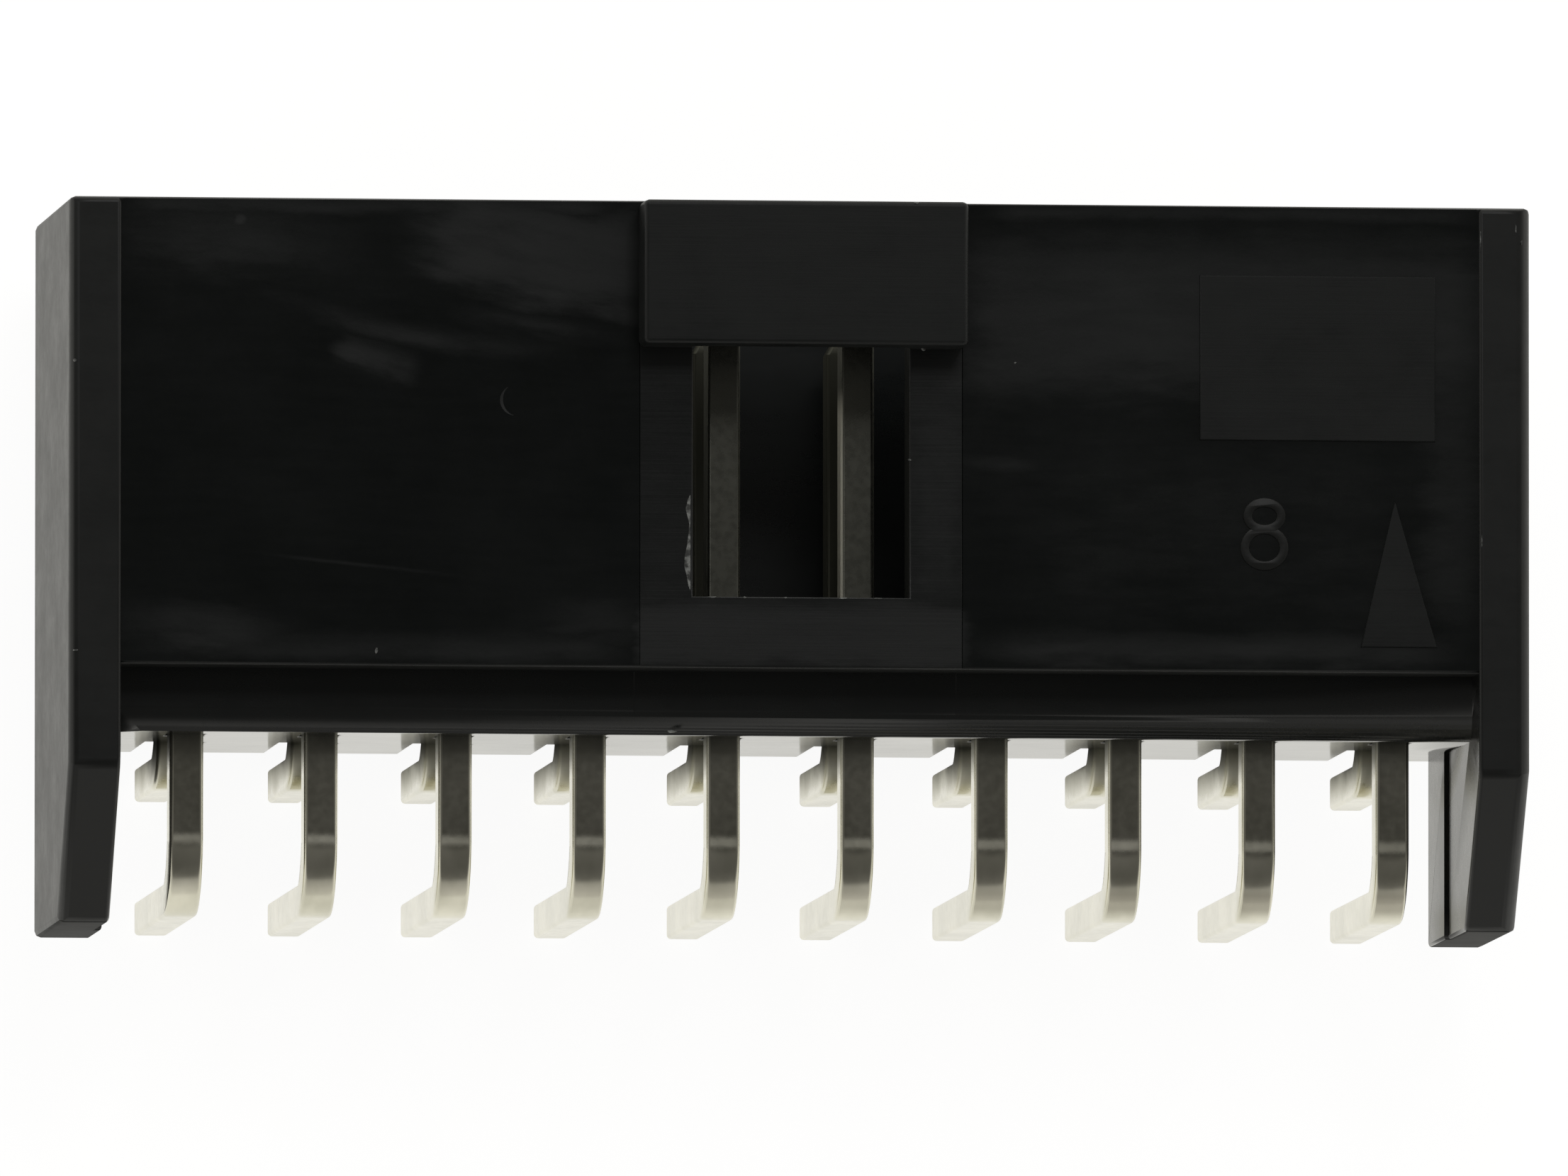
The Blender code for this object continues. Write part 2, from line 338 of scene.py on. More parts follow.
def mouldedPlastic(finish):
    mould, look = mouldingLook, mouldingLook["finishes"][finish]
    material, tree, shader, place = startMaterial("moulding " + finish)
    grainPlace = stretched(tree, place, 1, 1, 1)
    cloud = speckle(tree, grainPlace, look["cloud"], *mould["cloudNoise"])
    fine = speckle(tree, grainPlace, mould["grain"])
    streak = speckle(tree, stretched(tree, place, *mould["streak"]), mould["streakScale"])
    shade = remap(tree, shared(tree, cloud, streak, mould["streakShare"]), *mould["mottle"], 0.0, 1.0)
    mottled = shared(tree, shade, fine, mould["grainShare"])
    rough = remap(tree, mottled, *mould["roughFrom"], *look["rough"])
    if finish in mould["rubbed"]:
        worn = rubbed(tree, place)
        shade = sums(tree, "ADD", shade, times(tree, worn, mould["rubPale"]))
        rough = sums(tree, "ADD", rough, times(tree, worn, mould["rubRough"]))
    tree.links.new(blendColour(tree, shade, look["dark"], look["light"]), shader.inputs["Base Color"])
    tree.links.new(rough, shader.inputs["Roughness"])
    shader.inputs["IOR"].default_value = 1.5
    shader.inputs["Specular IOR Level"].default_value = look["shine"]
    normal = bump(tree, fine, mould["grainDepth"])
    if finish in mould["lined"]:
        lines = speckle(tree, stretched(tree, place, *mould["lines"]), mould["lineScale"])
        normal = bump(tree, lines, mould["lineDepth"], normal)
    tree.links.new(normal, shader.inputs["Normal"])
    return material


def scuffedPlastic():
    # The same moulding where it is torn or stretched: it turns pale
    look = scuffLook
    material, tree, shader, place = startMaterial("moulding scuffed")
    torn = speckle(tree, stretched(tree, place, 1, 1, 1), look["tears"])
    tone = remap(tree, torn, *look["contrast"], 0.0, 1.0)
    tree.links.new(blendColour(tree, tone, look["dark"], look["light"]), shader.inputs["Base Color"])
    tree.links.new(remap(tree, torn, *look["roughFrom"], *look["rough"]), shader.inputs["Roughness"])
    tree.links.new(bump(tree, torn, look["depth"]), shader.inputs["Normal"])
    return material


finishes = list(mouldingLook["finishes"])
plastics = {finish: mouldedPlastic(finish) for finish in finishes}
scuffed = scuffedPlastic()
print("moulding finishes ready")


# Housing: a copy of the solid with every sharp edge eased, then the mould's own marks cut in

housingShape = {
    "flat": 0.5,          # degrees between faces that count as one
    "sharp": 36.0,
    "narrow": 0.2,        # edges beside faces narrower than this stay as they are
    "ease": 0.05,         # how far an ordinary edge is rounded back
    "easeSteps": 8,
    "easeFront": 0.13,    # along the mouth's upper edge
    "easeWallRear": 0.05,
    "easeBandRear": 0.48,
    "easeBarRear": 0.012,
    "easeWindow": 0.02,
    "easeCheek": 0.10,    # inner edges of the two rear cheeks
    "shoulder": {-1: 0.20, 1: 0.29},   # the side faces' upper edges, left and right
    "shoulderSteps": 8,
    "seamInset": 0.02,    # the insert's joint line, inside the bar's own side
    "seam": (0.020, 0.016),      # half width and depth
    "bandSeam": (0.018, 0.012),
    "shadeSharp": 35,     # degrees from which an edge is shaded sharp
}

scratchShape = {
    "middle": (-5.37, 1.22),
    "radius": 0.30,
    "sweep": (126, 256),  # degrees
    "steps": 12,
    "cut": (0.055, 0.028),       # half width and depth
    "thinnest": 0.15,            # the share of both that is left at its ends
}


def faceReach(face, edge):
    # How far a face runs from one of its edges
    start = edge.verts[0].co
    line = (edge.verts[1].co - start).normalized()
    return max(((v.co - start) - line * (v.co - start).dot(line)).length for v in face.verts)


def easeOf(edge, shape):
    start, end = (corner.co for corner in edge.verts)
    middle, along = (start + end) / 2, (end - start).normalized()
    lengthwise, top = abs(along.x) > 0.9, middle.z > spot["bandTop"] - near
    if lengthwise and top and middle.y > spot["mouth"] - near:
        return shape["easeFront"]
    if lengthwise and top and abs(middle.y - spot["wallRear"]) < near:
        return shape["easeWallRear"]
    if lengthwise and top and abs(middle.y - spot["rearFace"]) < near:
        return shape["easeBandRear"]
    if lengthwise and abs(middle.y - spot["barRear"]) < near and middle.z > spot["barFoot"]:
        return shape["easeBarRear"]
    besideWindow = abs(middle.x) < spot["windowHalf"] + near and middle.y > spot["windowRear"] - near
    if besideWindow and middle.y < spot["barRear"] and abs(middle.z - spot["wallTop"]) < near:
        return shape["easeWindow"]
    if abs(abs(middle.x) - spot["innerHalf"]) < near and middle.y < spot["rearFace"]:
        return shape["easeCheek"]
    return shape["ease"]


def easeEdges(bm, shape):
    # Writes how wide each sharp outer edge is to be rounded, as a share of the widest
    bm.normal_update()
    widest, sharp = shape["easeBandRear"], math.radians(shape["sharp"])
    weight = bm.edges.layers.float.new("bevel_weight_edge")
    for edge in bm.edges:
        if len(edge.link_faces) != 2 or not edge.is_convex or edge.calc_face_angle() < sharp:
            continue
        if min(faceReach(face, edge) for face in edge.link_faces) > shape["narrow"]:
            edge[weight] = easeOf(edge, shape) / widest
    body = workObject(bm)
    rounding = body.modifiers.new("ease", "BEVEL")
    rounding.limit_method = "WEIGHT"
    rounding.width = widest
    rounding.segments = shape["easeSteps"]
    rounding.use_clamp_overlap = False
    return body


def workObject(bm):
    bmesh.ops.recalc_face_normals(bm, faces=bm.faces[:])
    mesh = bpy.data.meshes.new("work")
    bm.to_mesh(mesh)
    bm.free()
    made = bpy.data.objects.new("work", mesh)
    bpy.context.scene.collection.objects.link(made)
    return made


def grooveTool(path, surface, width, depth, thinnest=1):
    # V cutter laid along a path in X and Y, reaching as far above the surface as below it. It is full
    # size all along, unless its ends taper to a thinnest share of it.
    bm = bmesh.new()
    rings = []
    for i, (x, y) in enumerate(path):
        before, after = path[max(i - 1, 0)], path[min(i + 1, len(path) - 1)]
        along = Vector((after[0] - before[0], after[1] - before[1], 0)).normalized()
        share = max(math.sin(math.pi * i / (len(path) - 1)), thinnest)
        aside = along.cross(Vector((0, 0, 1))) * width * share
        middle = Vector((x, y, surface))
        lift = Vector((0, 0, depth * share))
        rings.append([middle - aside + lift, middle - lift, middle + aside + lift])
    skin(bm, rings)
    return workObject(bm)


def seamTools():
    # The insert's joint lines start under the bar and run out over the rear edges
    under, over, clear = 0.1, 0.05, 0.02
    tools = []
    for side in (-1, 1):
        x = side * (spot["barHalf"] - housingShape["seamInset"])
        wall = [(x, spot["barRear"] + under), (x, spot["wallRear"] - over)]
        band = [(x, spot["wallRear"] - clear), (x, spot["rearFace"] - over)]
        tools.append(grooveTool(wall, spot["wallTop"], *housingShape["seam"]))
        tools.append(grooveTool(band, spot["bandTop"], *housingShape["bandSeam"]))
    return tools


def shoulderTool(side):
    # Takes the corner off one side face, along its flat top and down the slope behind it
    radius, steps = housingShape["shoulder"][side], housingShape["shoulderSteps"]
    outside, ahead, beyond = 0.1, 0.3, 1.1   # how far it passes the face, the mouth and the slope's end
    section = [(-outside, radius), (-outside, -outside), (radius, -outside)]
    for step in range(steps + 1):
        angle = step / steps * math.pi / 2
        section.append((radius * (1 - math.sin(angle)), radius * (1 - math.cos(angle))))
    run, drop = spot["slopeFrom"] - spot["slopeTo"], spot["slopeDrop"]
    slope = math.atan2(drop, run)
    end = (spot["slopeFrom"] - run * beyond, spot["sideTop"] - drop * beyond)
    stations = [
        ((spot["mouth"] + ahead, spot["sideTop"]), (0, 1)),
        ((spot["slopeFrom"], spot["sideTop"]), (-math.tan(slope / 2), 1)),
        (end, (-math.sin(slope), math.cos(slope))),
    ]
    bm = bmesh.new()
    rings = []
    for (y, z), (leanY, leanZ) in stations:
        rings.append([(side * (spot["sideHalf"] - inward), y - leanY * under, z - leanZ * under)
                      for inward, under in section])
    skin(bm, rings)
    return workObject(bm)


def scratchTool():
    shape = scratchShape
    (x, y), (first, last) = shape["middle"], shape["sweep"]
    path = []
    for step in range(shape["steps"] + 1):
        angle = math.radians(first + (last - first) * step / shape["steps"])
        path.append((x + shape["radius"] * math.cos(angle), y + shape["radius"] * math.sin(angle)))
    return grooveTool(path, spot["wallTop"], *shape["cut"], shape["thinnest"])


def carve(body, tools):
    # Cuts the tools out of a body, all in millimetres
    for cutter in tools:
        step = body.modifiers.new("cut", "BOOLEAN")
        step.operation = "DIFFERENCE"
        step.solver = "EXACT"
        step.object = cutter
    bpy.context.view_layer.update()
    carved = bpy.data.meshes.new_from_object(body.evaluated_get(bpy.context.evaluated_depsgraph_get()))
    for spare in [body] + tools:
        bpy.data.objects.remove(spare, do_unlink=True)
    bm = bmesh.new()
    bm.from_mesh(carved)
    bpy.data.meshes.remove(carved)
    return bm


# How far past its own place each finish goes, or stays back from it, in mm
finishReach = {
    "bar": 0.01,
    "wallRear": 0.06,
    "cheekEnd": 0.1,
    "scratch": 0.06,
    "scratchDepth": 0.1,
    "overBand": 0.5,
    "wallSide": 0.03,
    "insertSide": 0.04,
    "bandDepth": 0.55,    # down the band's rounded edge
    "rear": 0.01,
    "cheek": 0.1,
    "cavity": 0.02,
    "mouthRim": 0.3,
}


def housingFinish(normal, middle):
    # Which finish each face gets, by where it is and where it looks: what the mould leaves, except that the
    # band and the cavity get lighter copies with painted light
    up, across, reach = normal.z > 0.5, abs(middle.x), finishReach
    if middle.z > spot["wallTop"] + near and across < spot["barHalf"] + reach["bar"]:
        return "matte"
    if abs(middle.y - spot["wallRear"]) < reach["wallRear"] and -0.98 < normal.y < -0.1:
        return "matte"
    if normal.y < -0.8 and middle.y < spot["slopeTo"] + reach["cheekEnd"]:
        return "cut"
    apart = (middle.to_2d() - Vector(scratchShape["middle"])).length - scratchShape["radius"]
    inWall = middle.z > spot["wallTop"] - reach["scratchDepth"]
    if inWall and 0.3 < normal.z < 0.99 and abs(apart) < reach["scratch"]:
        return "scratch"
    onWall = up and middle.z > spot["bandTop"] + reach["overBand"]
    if onWall and across < spot["innerHalf"] - reach["wallSide"]:
        return "insert" if across < spot["barHalf"] - reach["insertSide"] else "gloss"
    # The band takes a lighter copy of the moulding: painted light against the wall's shadow
    onBand = spot["rearFace"] - reach["rear"] < middle.y < spot["wallRear"]
    if onBand and normal.z > 0.05 and middle.z > spot["bandTop"] - reach["bandDepth"]:
        return "band"
    behind = middle.y < spot["rearFace"] + reach["rear"]
    if behind and across < spot["innerHalf"] + reach["cheek"] and not up:
        return "smooth" if abs(normal.x) > 0.7 else "polish"
    # Inside the cavity the moulding takes a lighter copy with painted light
    inside = spot["floorFace"] - reach["cavity"] < middle.y < spot["mouth"] - reach["mouthRim"]
    if inside and middle.z < spot["cavityTop"] + reach["cavity"] and across < spot["innerHalf"] + near:
        return "hollowPaintedLight" if middle.z > spot["cavityBottom"] - reach["cavity"] else "satin"
    return "satin"


def makeHousing():
    bm = bmesh.new()
    bm.from_mesh(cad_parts["housing"].data)
    bm.transform(Matrix.Scale(1 / mm, 4))
    bmesh.ops.remove_doubles(bm, verts=bm.verts[:], dist=0.0001)
    flat = math.radians(housingShape["flat"])
    bmesh.ops.dissolve_limit(bm, angle_limit=flat, verts=bm.verts[:], edges=bm.edges[:])
    bm = carve(easeEdges(bm, housingShape), seamTools() + [scratchTool(), shoulderTool(-1), shoulderTool(1)])
    bm.normal_update()
    for face in bm.faces:
        face.material_index = finishes.index(housingFinish(face.normal, face.calc_center_median()))
    print("housing volume, cubic mm:", round(bm.calc_volume(), 1))
    piece = addPiece("mouldedHousing", bm, list(plastics.values()))
    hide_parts("housing")
    softShade(piece, housingShape["shadeSharp"])


makeHousing()
print("housing ready")


# Raised marks on the top wall: a bare pad, a triangle for the first contact and a mould number

markShape = {
    "root": 0.05,          # how deep a mark sits in the wall
    "ease": 0.025,
    "pad": rectangle(7.55, 12.02, 0.57, 3.68),
    "padHeight": 0.04,
    "triangle": [(10.60, -3.32), (12.05, -3.32), (11.25, -0.55)],
    "triangleHeight": 0.035,
    "numberAt": (8.775, -1.20),
    "numberWidth": 0.92,
    "upperWidth": 0.88,    # the upper bowl's share of it
    "upperBowl": 0.68,     # heights of the two bowls of the figure eight
    "lowerBowl": 0.86,
    "stroke": 0.17,
    "numberHeight": 0.035,
    "bowlSteps": 20,
    "shadeSharp": 35,      # degrees
}


def raisedMark(name, outline, height):
    bm = bmesh.new()
    loops = slab(bm, outline, spot["wallTop"] - markShape["root"], spot["wallTop"] + height)
    rim = [edge for edge in bm.edges if all(corner in loops[1] for corner in edge.verts)]
    bmesh.ops.bevel(bm, geom=rim, offset=markShape["ease"], segments=2, profile=0.5, affect="EDGES")
    piece = addPiece(name, bm, [plastics["matte"]])
    softShade(piece, markShape["shadeSharp"])


def bowl(middle, half, start=0.0, turn=2 * math.pi):
    # Part of an oval, as points; a whole one closes on itself
    steps = markShape["bowlSteps"]
    count = steps if turn == 2 * math.pi else steps + 1
    angles = [start + turn * step / steps for step in range(count)]
    return [(middle[0] + half[0] * math.cos(a), middle[1] + half[1] * math.sin(a)) for a in angles]


def figureEight():
    # Outer outline and the two counters, about the number's own middle
    stroke, wide = markShape["stroke"], markShape["numberWidth"] / 2
    upper, lower = markShape["upperBowl"] / 2, markShape["lowerBowl"] / 2
    waist = lower - upper
    upperAt, lowerAt = (0, waist + upper - stroke / 2), (0, waist - lower + stroke / 2)
    narrow = wide * markShape["upperWidth"]
    # Each bowl leaves the outline where it comes nearest the waist
    cutUpper = math.asin(min(1, (upper - stroke / 2) / upper))
    cutLower = math.asin(min(1, (lower - stroke / 2) / lower))
    outer = bowl(upperAt, (narrow, upper), -cutUpper, math.pi + 2 * cutUpper)
    outer += bowl(lowerAt, (wide, lower), math.pi - cutLower, math.pi + 2 * cutLower)
    upperCounter = bowl(upperAt, (narrow - stroke, upper - stroke))
    lowerCounter = bowl(lowerAt, (wide - stroke, lower - stroke))
    return [outer, upperCounter, lowerCounter]


def makeNumber():
    curve = bpy.data.curves.new("number", "CURVE")
    curve.dimensions = "2D"
    curve.fill_mode = "BOTH"
    curve.extrude = (markShape["root"] + markShape["numberHeight"]) / 2 - markShape["ease"]
    curve.bevel_depth = markShape["ease"]
    curve.bevel_resolution = 1
    curve.offset = -markShape["ease"]
    for outline in figureEight():
        spline = curve.splines.new("POLY")
        spline.points.add(len(outline) - 1)
        for point, (x, y) in zip(spline.points, outline):
            point.co = (x, y, 0, 1)
        spline.use_cyclic_u = True
    drawn = bpy.data.objects.new("number", curve)
    bpy.context.scene.collection.objects.link(drawn)
    bpy.context.view_layer.update()
    mesh = bpy.data.meshes.new_from_object(drawn.evaluated_get(bpy.context.evaluated_depsgraph_get()))
    bm = bmesh.new()
    bm.from_mesh(mesh)
    bpy.data.objects.remove(drawn, do_unlink=True)
    bpy.data.meshes.remove(mesh)
    bmesh.ops.remove_doubles(bm, verts=bm.verts[:], dist=0.0005)
    rise = spot["wallTop"] + (markShape["numberHeight"] - markShape["root"]) / 2
    bm.transform(Matrix.Translation((*markShape["numberAt"], rise)))
    piece = addPiece("mouldNumber", bm, [plastics["satin"]])
    softShade(piece, markShape["shadeSharp"])


raisedMark("markPad", markShape["pad"], markShape["padHeight"])
raisedMark("markTriangle", markShape["triangle"], markShape["triangleHeight"])
makeNumber()
print("raised marks ready")


# Flash and chips that moulding leaves: a torn sliver beside the window and specks along the edges

flashShape = {
    "sliverEdge": -2.09,   # X of the window's edge that it hangs on
    "sliver": [            # Y, how far it curls out over the wall, in mm
        (-0.52, 0.02), (-0.62, 0.07), (-0.80, 0.11), (-0.95, 0.08), (-1.09, 0.05), (-1.28, 0.06),
        (-1.48, 0.08), (-1.70, 0.12), (-1.88, 0.13), (-2.08, 0.09), (-2.26, 0.06), (-2.38, 0.02),
    ],
    "sliverRise": 0.04,
    "sliverFull": 0.12,    # how far it has to curl out to stand at its full rise
    "sliverVary": (0.92, 1.0),
    "sliverSection": [(0, 0), (0.1, 0.8), (0.35, 1), (0.7, 0.55), (1, 0.2), (0.98, 0)],
    "sliverSharp": 60,     # degrees
    "seed": 4,
    "speckSides": 7,
    "speckVary": (0.6, 1.0),
    "speckRoot": 0.03,
    "speckCrown": 0.55,    # its top, as a share of its foot
    "speckRise": (0.010, 0.022),
    "speckSharp": 30,      # degrees
    "specks": [            # place in mm, then its length and width
        (2.06, 0.15, 7.26, 0.10, 0.05),
        (2.28, 2.22, 7.62, 0.10, 0.08),
        (-1.70, -2.47, 7.25, 0.34, 0.05),
        (-1.06, -2.47, 7.25, 0.12, 0.05),
        (0.80, -2.47, 7.25, 0.30, 0.05),
        (1.45, -2.47, 7.25, 0.34, 0.04),
        (-0.30, -2.47, 7.25, 0.12, 0.05),
        (2.09, 4.93, 8.17, 0.16, 0.08),
        (2.96, 4.92, 8.15, 0.14, 0.09),
        (-2.33, -4.93, 6.16, 0.22, 0.07),
        (-8.03, -3.52, 7.26, 0.10, 0.18),
        (-13.70, -3.56, 7.29, 0.14, 0.06),
        (-13.72, 1.90, 7.29, 0.10, 0.08),
        (13.55, 4.60, 7.29, 0.05, 0.30),
        (13.66, 4.35, 7.27, 0.06, 0.16),
        (12.88, 4.40, 7.29, 0.03, 0.60),
        (12.90, -1.30, 7.29, 0.03, 0.50),
        (4.05, 2.00, 7.25, 0.08, 0.06),
    ],
}


def makeSliver(rng):
    # A thin curl of flash along the window's edge
    shape = flashShape
    edge, root = shape["sliverEdge"], spot["wallTop"] - 0.01
    bm = bmesh.new()
    rings = []
    for y, reach in shape["sliver"]:
        out = reach * rng.uniform(*shape["sliverVary"])
        top = shape["sliverRise"] * min(1, out / shape["sliverFull"])
        rings.append([(edge - out * share, y, root + top * rise) for share, rise in shape["sliverSection"]])
    skin(bm, rings)
    piece = addPiece("windowSliver", bm, [scuffed])
    softShade(piece, shape["sliverSharp"])


def makeSpecks(rng):
    # Low crumbs, each a ragged foot drawn in to a smaller top
    shape = flashShape
    sides, crownShare = shape["speckSides"], shape["speckCrown"]
    bm = bmesh.new()
    for x, y, z, length, width in shape["specks"]:
        foot, crown = [], []
        for step in range(sides):
            angle = step / sides * 2 * math.pi
            reach = rng.uniform(*shape["speckVary"]) / 2
            px, py = x + length * reach * math.cos(angle), y + width * reach * math.sin(angle)
            foot.append((px, py, z - shape["speckRoot"]))
            rise = rng.uniform(*shape["speckRise"])
            crown.append((x + (px - x) * crownShare, y + (py - y) * crownShare, z + rise))
        skin(bm, [foot, crown])
    piece = addPiece("edgeSpecks", bm, [scuffed])
    softShade(piece, shape["speckSharp"])


rng = random.Random(flashShape["seed"])
makeSliver(rng)
makeSpecks(rng)
print("flash and specks ready")


# Contacts: square wire swept through one bend

wireShape = {
    "side": 0.64,
    "corner": 0.08,
    "cornerSteps": 4,
    "bendRadius": 1.02,
    "bendTighter": 0.005,  # for each mm along X
    "bendSteps": 20,
    "bulge": 0.012,        # the inside of a bend spreads, the outside draws in
    "tip": 0.3,
    "tipSide": 0.3,
    "swell": 0.74,         # the wire is swaged where it grips its hole in the shroud's floor
    "swellFrom": -3.55,
    "swellTo": -4.15,
    "swellRamp": 0.1,
    "shadeSharp": 32,      # degrees
}

# Places are in mm, and a pair of them runs from one to the other
tinLook = {
    "dark": (0.60, 0.585, 0.485),
    "light": (0.74, 0.72, 0.61),
    "cloud": (1, 0.6, 0.6),        # the clouds are drawn out along the wire
    "cloudScale": 1.3,
    "contrast": (0.35, 0.65),
    "fineScale": 7.0,
    "roughFrom": (0.3, 0.7),
    "rough": (0.15, 0.20),
    "drawn": (7.0, 0.4, 0.4),      # lines that the drawing die leaves
    "drawScale": 1.6,
    "drawDepth": 0.0008,
    # Inside the shroud, and where the wire leaves the moulding: painted shade colours and more roughness,
    # for the lower row, then the upper
    "paintedShade": [(0.075, 0.075, 0.060), (0.17, 0.17, 0.145)],
    "shroudRough": (0.36, 0.10),
    "paintedShadeFrom": (-5.75, -4.95),    # own tin colour behind the first, painted shade ahead of the second
    "lengthWander": 0.5,
    "rows": (3.5, 4.1),            # heights between which the lower row gives way to the upper
    "flankRough": 0.40,            # what the upright faces in there have more of
    "flanks": (0.3, 0.9),          # how far up a face looks, from upright to level
    # The bending tool's print on top of the upper row
    "pressed": (-7.16, -6.80),
    "pressedFade": 0.9,
    "pressedRough": 0.20,
    "tops": (0.85, 0.98),
    # Painted highlight: a bright glint along one corner in the window
    "glintCorner": (0.932, 1.0),
    "glintCornerFade": 0.5,
    "glintFrom": (-3.4, 1.7),
    "glintFade": 0.3,
    # Painted darker reflection on the outside of the upper row's bends, darker towards the triangle's end
    "bent": (0.26, 0.245, 0.20),
    "bentFrom": (-8.36, -7.68),
    "bentFade": 0.7,
    "bentAbove": (3.3, 3.7),
    "bentFacing": (0.3, 0.7),      # how far sideways a face looks, from outside to flank
    "bentAlong": (-12, 8),
    "bentShare": (0.06, 0.76),
}


def stripe(tree, value, first, last, fade):
    # 1 between two places along an axis, 0 beyond them
    return rimFade(tree, sums(tree, "SUBTRACT", value, (first + last) / 2), (last - first) / 2, fade)


def tinPlate():
    look = tinLook
    material, tree, shader, place = startMaterial("tin plate")
    plain = stretched(tree, place, 1, 1, 1)
    cloud = speckle(tree, stretched(tree, place, *look["cloud"]), look["cloudScale"], 3.0)
    fine = speckle(tree, plain, look["fineScale"], 2.0)
    x, y, z = addNode(tree, "ShaderNodeSeparateXYZ", i0=plain).outputs
    geometry = addNode(tree, "ShaderNodeNewGeometry")
    faceX, faceY, faceZ = addNode(tree, "ShaderNodeSeparateXYZ", i0=geometry.outputs["True Normal"]).outputs

    wander = times(tree, sums(tree, "SUBTRACT", cloud, 0.5), look["lengthWander"])
    lengthwise = sums(tree, "ADD", y, wander)
    upper = remap(tree, z, *look["rows"], 0.0, 1.0)
    inside = remap(tree, lengthwise, *look["paintedShadeFrom"], 0.0, 1.0)
    # Painted shade: inside the shroud and where the wire leaves the moulding the tin's colour is darkened,
    # the lower row far more than the upper
    ownTin = blendColour(tree, remap(tree, cloud, *look["contrast"], 0.0, 1.0), look["dark"], look["light"])
    paintedShade = blendColour(tree, upper, *look["paintedShade"])
    colour = blendColour(tree, inside, ownTin, paintedShade, clamped=True)

    # Painted shade: the outside of the upper bends is darkened to stand for a darker reflection there
    bent = stripe(tree, y, *look["bentFrom"], look["bentFade"])
    bent = times(tree, bent, remap(tree, z, *look["bentAbove"], 0.0, 1.0))
    bent = times(tree, bent, remap(tree, unsigned(tree, faceX), *look["bentFacing"], 1.0, 0.0))
    bent = times(tree, bent, remap(tree, x, *look["bentAlong"], *look["bentShare"]))
    colour = blendColour(tree, bent, colour, look["bent"], clamped=True)

    # Painted highlight: a light, non-metal strip on the corner stands in for a glint
    paintedGlint = stripe(tree, x, *look["glintCorner"], look["glintCornerFade"])
    paintedGlint = times(tree, paintedGlint, stripe(tree, lengthwise, *look["glintFrom"], look["glintFade"]))
    paintedGlint = times(tree, paintedGlint, upper)
    colour = blendColour(tree, paintedGlint, colour, look["light"], clamped=True)
    tree.links.new(colour, shader.inputs["Base Color"])
    tree.links.new(sums(tree, "SUBTRACT", 1.0, paintedGlint), shader.inputs["Metallic"])

    rough = remap(tree, fine, *look["roughFrom"], *look["rough"])
    shroudRoughness = remap(tree, upper, 0.0, 1.0, *look["shroudRough"])
    shroudRoughness = sums(tree, "ADD", shroudRoughness, remap(tree, faceZ, *look["flanks"], look["flankRough"], 0.0))
    rough = sums(tree, "ADD", rough, times(tree, shroudRoughness, inside))
    onTop = remap(tree, faceZ, *look["tops"], 0.0, look["pressedRough"])
    toolPrint = times(tree, stripe(tree, y, *look["pressed"], look["pressedFade"]), onTop)
    tree.links.new(sums(tree, "ADD", rough, toolPrint), shader.inputs["Roughness"])
    drawn = speckle(tree, stretched(tree, place, *look["drawn"]), look["drawScale"], 2.0)
    tree.links.new(bump(tree, drawn, look["drawDepth"]), shader.inputs["Normal"])
    return material


tin = tinPlate()


def wireSection(side, spread):
    # Rounded square; spread widens the inner side and narrows the outer one
    shape = wireShape
    flat = side / 2 - shape["corner"]
    points = []
    for right, out, quarter in ((1, 1, 0), (-1, 1, 1), (-1, -1, 2), (1, -1, 3)):
        for step in range(shape["cornerSteps"] + 1):
            angle = (quarter + step / shape["cornerSteps"]) * math.pi / 2
            across = right * flat + shape["corner"] * math.cos(angle)
            rise = out * flat + shape["corner"] * math.sin(angle)
            points.append((across * (1 - spread * rise / (side / 2) / (side / 2)), rise))
    return points


def wirePath(tipY, rowZ, tailY, tailZ, radius):
    # Stations from the mating tip to the solder tip: centre, outward side, width, spread
    shape = wireShape
    up, back = Vector((0, 0, 1)), Vector((0, -1, 0))
    path = [
        (Vector((0, tipY, rowZ)), up, shape["tipSide"], 0),
        (Vector((0, tipY - shape["tip"], rowZ)), up, shape["side"], 0),
    ]
    gripFrom, gripTo, ramp = shape["swellFrom"], shape["swellTo"], shape["swellRamp"]
    for y, side in ((gripFrom, shape["side"]), (gripFrom - ramp, shape["swell"]),
                    (gripTo + ramp, shape["swell"]), (gripTo, shape["side"])):
        path.append((Vector((0, y, rowZ)), up, side, 0))
    centre = Vector((0, tailY + radius, rowZ - radius))
    for step in range(shape["bendSteps"] + 1):
        share = step / shape["bendSteps"]
        turn = share * math.pi / 2
        outward = up * math.cos(turn) + back * math.sin(turn)
        spread = shape["bulge"] * math.sin(share * math.pi)
        path.append((centre + outward * radius, outward, shape["side"], spread))
    path.append((Vector((0, tailY, tailZ + shape["tip"])), back, shape["side"], 0))
    path.append((Vector((0, tailY, tailZ)), back, shape["tipSide"], 0))
    return path


def makeContact(nodeName):
    low, high = edgesOf(nodeName)
    half = wireShape["side"] / 2
    middle = Vector(((low.x + high.x) / 2, 0, 0))
    # The bends grow a little tighter towards the triangle's end
    radius = wireShape["bendRadius"] - wireShape["bendTighter"] * middle.x
    bm = bmesh.new()
    rings = []
    for centre, outward, side, spread in wirePath(high.y, high.z - half, low.y + half, low.z, radius):
        section = wireSection(side, spread)
        rings.append([centre + middle + Vector((x, 0, 0)) + outward * rise for x, rise in section])
    skin(bm, rings)
    piece = addPiece(nodeName.replace("contact", "wire"), bm, [tin])
    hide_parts(nodeName)
    softShade(piece, wireShape["shadeSharp"])


for nodeName in sorted(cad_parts):
    if nodeName.startswith("contact"):
        makeContact(nodeName)
print("contacts ready")


# Stage, light and camera

